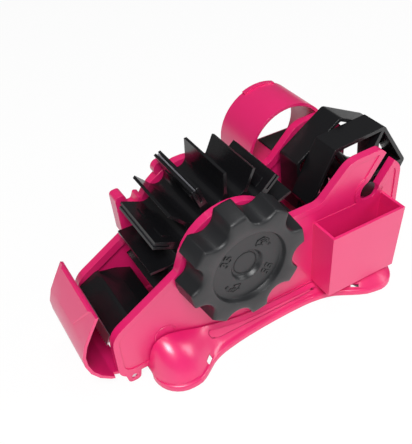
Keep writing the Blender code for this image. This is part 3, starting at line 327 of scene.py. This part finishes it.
def dished_knob():
    """The scalloped knob with a shallow dish in its face and a well for the screw's cap."""
    rings = [
        circle(KNOB_BORE, KNOB_BACK_Y, KNOB_STEPS),
        lobed_ring(KNOB_BACK_R - BACK_RIM, KNOB_BACK_Y),
        lobed_ring(KNOB_BACK_R, KNOB_BACK_Y),
    ]
    for back, inward in EDGE_SHARES:
        rings.append(lobed_ring(KNOB_FRONT_R, KNOB_FACE_Y + KNOB_EDGE * back, KNOB_EDGE * inward))
    steps = (
        (DISH_R, KNOB_FACE_Y, DISH_TOP), (DISH_R, DISH_Y, DISH_FOOT),
        (WELL_R, DISH_Y, WELL_TOP), (WELL_R, WELL_Y, WELL_FOOT),
    )
    for radius, plane, turns in steps:
        for out, down in turns:
            rings.append(circle(radius + out, plane + down, KNOB_STEPS))
    rings.append(circle(KNOB_BORE, WELL_Y, KNOB_STEPS))
    bm = bmesh.new()
    loft(bm, rings, True)
    body = piece("knob_dished", bm, KNOB_BLACK, "drum", Matrix.Translation(AXIS))
    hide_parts("knob")


# The cap in the well and the axle below it, in millimetres from the drum's axis.
ROD_STEPS = 64
CAP_GAP = 0.1
CAP_LIFT = 0.1
CAP_THICK = 1.4
CAP_EDGE = 0.2
CAP_R = KNOB_BORE - CAP_GAP
CAP_FACE_Y = WELL_Y - CAP_LIFT
CAP_BACK_Y = CAP_FACE_Y + CAP_THICK
AXLE_R = 6.0
AXLE_EDGE = 0.3
AXLE_CAP_GAP = 0.3
AXLE_NEAR_Y = CAP_BACK_Y + AXLE_CAP_GAP


def turned_rod(name, radius, edge, low, high, mat):
    """A round piece on the drum's axis with softened ends, from low to high along Y."""
    bm = bmesh.new()
    profile = ((radius - edge, low), (radius, low + edge), (radius, high - edge), (radius - edge, high))
    loops = loft(bm, [circle(size, y, ROD_STEPS) for size, y in profile], False)
    bm.faces.new(loops[0])
    bm.faces.new(loops[-1][::-1])
    return piece(name, bm, mat, "drum", Matrix.Translation(AXIS))


def knob_middle():
    """The cap in the well's floor, and the axle that ends below it."""
    cap = turned_rod(
        "knob_cap_flush", CAP_R, CAP_EDGE, CAP_FACE_Y, CAP_BACK_Y, KNOB_BLACK,
    )
    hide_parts("knob_cap")
    far = (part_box("drum_axle")[1][1] - AXIS.y) / MM
    axle = turned_rod("drum_axle_short", AXLE_R, AXLE_EDGE, AXLE_NEAR_Y, far, PLAIN_STEEL)
    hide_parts("drum_axle")


# Marks in the dish: their middle plane, height above it, sizes and lines.
MARK_LIFT = 0.1
MARK_Y = AXIS.y + (DISH_Y - MARK_LIFT) * MM
MARK_RISE = 0.22 * MM
DIGIT_SIZE = 7.6 * MM
DIGIT_WIDEN = 0.04 * MM
DIGIT_EDGE = 0.08 * MM
ARROW_REACH = 14.8 * MM
ARROW_LINE = 0.55 * MM
BAR_LINE = 0.5 * MM

# The feed lengths on the knob: text, x and z from the axis, and turn.
NUMBERS = (
    ("35", -12.2 * MM, 8.2 * MM, math.radians(-56)),
    ("55", 11.9 * MM, -8.6 * MM, math.radians(126)),
)
ARROWS = (math.radians(46), math.radians(230))


def number_mark(text, x, z, turn):
    """A raised number in the dish, its top turned from +Z toward +X."""
    curve = bpy.data.curves.new("feed_%s" % text, "FONT")
    curve.body = text
    curve.size = DIGIT_SIZE
    curve.align_x = "CENTER"
    curve.align_y = "CENTER"
    curve.extrude = MARK_RISE
    curve.offset = DIGIT_WIDEN
    curve.bevel_depth = DIGIT_EDGE
    curve.bevel_resolution = 1
    flat = bpy.data.objects.new("feed_text", curve)
    bpy.context.scene.collection.objects.link(flat)
    bpy.context.view_layer.update()
    graph = bpy.context.evaluated_depsgraph_get()
    mesh = bpy.data.meshes.new_from_object(flat.evaluated_get(graph))
    bpy.data.objects.remove(flat, do_unlink=True)
    bm = bmesh.new()
    bm.from_mesh(mesh)
    place = Matrix.Translation((AXIS.x + x, MARK_Y, AXIS.z + z))
    stand = Matrix.Rotation(turn, 4, "Y") @ Matrix.Rotation(math.radians(90), 4, "X")
    piece("feed_%s" % text, bm, MARK_AND_SHADE_BLACK, "drum", place @ stand)


def line_strip(bm, points, width, low, high, closed):
    """A thin raised line of one width along points of the XZ plane."""
    count = len(points)
    spans = count if closed else count - 1
    for k in range(spans):
        start = Vector(points[k])
        end = Vector(points[(k + 1) % count])
        along = (end - start).normalized() * width / 2
        side = Vector((-along.y, along.x))
        corners = (start - along + side, start - along - side, end + along - side, end + along + side)
        slab(bm, [tuple(c) for c in corners], low, high)


# A bent arrow's outline and bars, in millimetres along the turn and outward.
ARROW_LOOP = (
    (-4.6, -0.6), (-2.2, 2.6), (1.6, 2.9), (4.4, 1.2), (3.6, 0.1), (1.3, 1.1), (-0.6, 0.6), (-1.4, -0.6),
    (-0.2, -1.4), (-3.6, -3.2),
)
ARROW_BARS = (((-2.4, 0.2), (-1.6, 1.2)), ((-1.2, 0.7), (-0.6, 1.9)), ((0.5, 1.3), (0.9, 2.3)))


def turn_arrow(name, middle):
    """A raised bent arrow in the dish that shows which way the knob is turned."""
    bm = bmesh.new()
    out = Vector((math.cos(middle), math.sin(middle)))
    along = Vector((-out.y, out.x))

    def in_dish(points):
        return [tuple(out * (ARROW_REACH + rise * MM) - along * step * MM) for step, rise in points]

    line_strip(bm, in_dish(ARROW_LOOP), ARROW_LINE, -MARK_RISE, MARK_RISE, True)
    for bar in ARROW_BARS:
        line_strip(bm, in_dish(bar), BAR_LINE, -MARK_RISE, MARK_RISE, False)
    place = Matrix.Translation((AXIS.x, MARK_Y, AXIS.z))
    piece(name, bm, MARK_AND_SHADE_BLACK, "drum", place)


# The ring beside the front foot: its place from the axis, and radii and heights in millimetres.
RING_PLACE = Vector((-45, -27.0, -40)) * MM
RING_PROFILE = ((6.7, 0.0), (6.45, -0.28), (5.85, -0.28), (5.6, 0.0))
RING_STEPS = 48


def wall_ring():
    """A low moulded ring on the near wall, beside the front foot."""
    bm = bmesh.new()
    loft(bm, [circle(radius, y, RING_STEPS) for radius, y in RING_PROFILE], True)
    piece("wall_ring", bm, PINK, "frame", Matrix.Translation(AXIS + RING_PLACE))


# Clip pads on the slotted fins: places across the drum, reach, rise, size and edge.
PAD_PLACES = (-11 * MM, 8 * MM)
PAD_REACH = 36.8 * MM
PAD_RISE = 2.3 * MM
PAD_SIZE = (6.4 * MM, 9.0 * MM, 1.0 * MM)
PAD_EDGE = 0.35 * MM

# Painted shade of the screws' cross recesses, as dark crosses set into their heads: size, depth and turn
# in radians.
CROSS_SIZE = (3.2 * MM, 0.3 * MM, 0.7 * MM)
CROSS_SINK = 0.12 * MM
CROSS_TURN = 0.5


def add_box(bm, matrix, size):
    """A box of the given size, placed by a matrix."""
    bmesh.ops.create_cube(bm, size=1.0, matrix=matrix @ Matrix.Diagonal((*size, 1)))


def clamp_pads():
    """Raised pads on the slotted fins, over the clips that hold the serrated strips."""
    for number, k in enumerate(BLADE_FINS, 1):
        bm = bmesh.new()
        for y in PAD_PLACES:
            for side in (-1, 1):
                add_box(bm, Matrix.Translation((PAD_REACH, y, side * PAD_RISE)), PAD_SIZE)
        bmesh.ops.bevel(bm, geom=list(bm.edges), offset=PAD_EDGE, segments=2, affect="EDGES")
        turn = Matrix.Rotation(-(FIRST_FIN + 2 * math.pi * k / FIN_COUNT), 4, "Y")
        place = Matrix.Translation(AXIS) @ turn
        piece("clamp_pads_%d" % number, bm, DRUM_BLACK, "drum", place)


def painted_shade_screw_crosses():
    """A dark cross set into each screw's head on the far side, painted shade for its cross recess."""
    for number in CORNERS:
        low, high = (Vector(c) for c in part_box("tie_screw_%d" % number))
        middle = (low + high) / 2
        place = Matrix.Translation((middle.x, high.y - CROSS_SINK, middle.z))
        bm = bmesh.new()
        for turn in (0, math.pi / 2):
            add_box(bm, place @ Matrix.Rotation(turn + CROSS_TURN, 4, "Y"), CROSS_SIZE)
        # Painted shade: these dark crosses stand for the shaded hollows of the cross recesses.
        piece("screw_cross_shade_%d" % number, bm, MARK_AND_SHADE_BLACK, "frame")


# The white floor and world: half the floor's side in metres, and what only the camera sees.
WHITE = (1, 1, 1, 1)
FLOOR_REACH = 3
FLOOR_COLOUR = (0.92, 0.92, 0.92)
FLOOR_GLOW_SHARE = 0.93
DIM_WORLD = 0.12
SEEN_WORLD = 1.0

# Area lamps: name, place and size in metres, and power in watts.
LIGHTS = (
    ("key", (-0.35, -0.6, 0.95), 0.5, 13.5),
    ("top", (0.15, 0.1, 1.0), 0.3, 1.5),
    ("side", (0.75, -0.5, 0.5), 0.4, 3.0),
)
LIGHTS_LOOK_AT = Vector((-0.02, 0, 0.05))

# The camera fitted to the photo: place in metres, turn in degrees, lens and sensor in millimetres.
EYE_PLACE = (-0.14944, -0.24756, 0.29318)
EYE_TURN = (50.342, 3.181, -30.597)
LENS = 51.29
SENSOR_WIDTH = 36
CLIP_START = 0.01


def white_floor():
    """A white floor that mostly glows where the camera sees it, and is lit everywhere else."""
    bm = bmesh.new()
    bmesh.ops.create_grid(bm, x_segments=1, y_segments=1, size=FLOOR_REACH)
    mesh = bpy.data.meshes.new("floor")
    bm.to_mesh(mesh)
    bm.free()
    floor = bpy.data.objects.new("floor", mesh)
    bpy.context.scene.collection.objects.link(floor)
    mat, shader = new_material("floor_white", FLOOR_COLOUR, 0.9)
    glow = add(mat, "ShaderNodeEmission", strength=1.0)
    glow.inputs["Color"].default_value = WHITE
    path = add(mat, "ShaderNodeLightPath")
    share = add(mat, "ShaderNodeMath", operation="MULTIPLY")
    share.inputs[1].default_value = FLOOR_GLOW_SHARE
    both = add(mat, "ShaderNodeMixShader")
    link(mat, path.outputs["Is Camera Ray"], share.inputs[0])
    link(mat, share.outputs[0], both.inputs[0])
    link(mat, shader.outputs[0], both.inputs[1])
    link(mat, glow.outputs[0], both.inputs[2])
    link(mat, both.outputs[0], mat.node_tree.nodes["Material Output"].inputs["Surface"])
    mesh.materials.append(mat)


def dim_world():
    """A world that is white to the camera and lights the part only dimly."""
    world = bpy.data.worlds.new("studio")
    bpy.context.scene.world = world
    world.use_nodes = True
    back = world.node_tree.nodes["Background"]
    back.inputs["Color"].default_value = WHITE
    seen = add(world, "ShaderNodeLightPath")
    level = add(world, "ShaderNodeMapRange", to_min=DIM_WORLD, to_max=SEEN_WORLD)
    link(world, seen.outputs["Is Camera Ray"], level.inputs["Value"])
    link(world, level.outputs["Result"], back.inputs["Strength"])


def lamps():
    """Area lamps that look at the part's middle."""
    for name, place, size, power in LIGHTS:
        lamp = bpy.data.lights.new(name, "AREA")
        lamp.size = size
        lamp.energy = power
        holder = bpy.data.objects.new(name, lamp)
        holder.location = place
        ahead = LIGHTS_LOOK_AT - Vector(place)
        holder.rotation_euler = ahead.to_track_quat("-Z", "Y").to_euler()
        bpy.context.scene.collection.objects.link(holder)


def camera():
    """The photo's camera, and plain colours as the photo has them."""
    lens = bpy.data.cameras.new("camera")
    lens.sensor_fit = "AUTO"
    lens.sensor_width = SENSOR_WIDTH
    lens.lens = LENS
    lens.clip_start = CLIP_START
    eye = bpy.data.objects.new("camera", lens)
    eye.location = EYE_PLACE
    eye.rotation_euler = tuple(math.radians(a) for a in EYE_TURN)
    bpy.context.scene.collection.objects.link(eye)
    bpy.context.scene.camera = eye
    bpy.context.scene.view_settings.view_transform = "Standard"


def main():
    camera()
    white_floor()
    dim_world()
    lamps()
    dress_nodes()
    for mark in NUMBERS:
        number_mark(*mark)
    for number, middle in enumerate(ARROWS, 1):
        turn_arrow("arrow_%d" % number, middle)
    wall_ring()
    dished_knob()
    knob_middle()
    clamp_pads()
    painted_shade_screw_crosses()


main()
